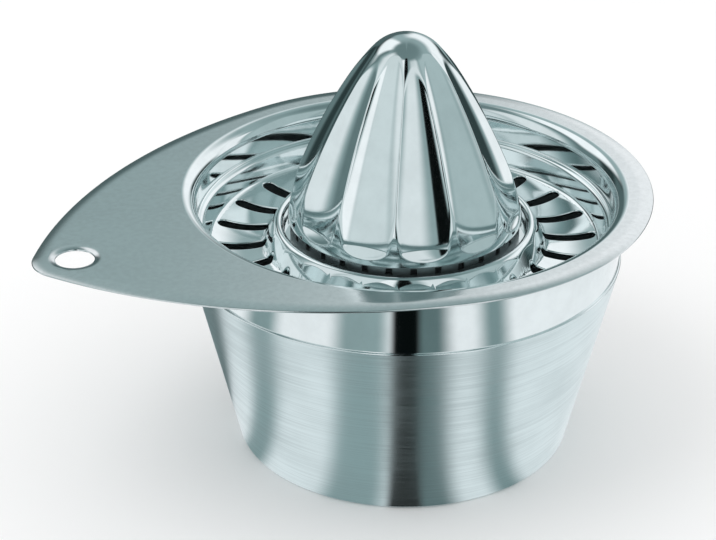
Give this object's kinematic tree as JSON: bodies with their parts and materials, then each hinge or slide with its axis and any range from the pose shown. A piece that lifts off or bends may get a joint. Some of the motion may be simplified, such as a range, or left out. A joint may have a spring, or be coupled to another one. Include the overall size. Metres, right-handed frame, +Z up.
{
  "type": "citrus juicer",
  "caption": "Steel citrus juicer: a fluted reamer cone in a slotted strainer plate with a teardrop handle, sitting in the mouth of a tapered collecting bowl.",
  "frame": {"origin": "middle of the bowl's flat base, on the table", "axes": "+Z up along the bowl's axis, handle along -X"},
  "size_m": [0.1684, 0.1304, 0.115],
  "materials": {
    "bowl_steel": "side brushed round the axis, collar mirror polished",
    "plate_steel": "flat satin, well mirror polished",
    "ring_steel": "satin",
    "cone_steel": "mirror polished"
  },
  "bodies": {
    "bowl": {"bowl": "bowl_steel"},
    "press_top": {"handle_plate": "plate_steel", "strainer_well": "plate_steel", "drain_ring": "ring_steel", "reamer_cone": "cone_steel"}
  },
  "joints": [
    {"name": "press_lift", "type": "slide", "parent": "bowl", "child": "press_top", "axis": [0, 0, 1], "range_m": [0, 0.08]}
  ]
}
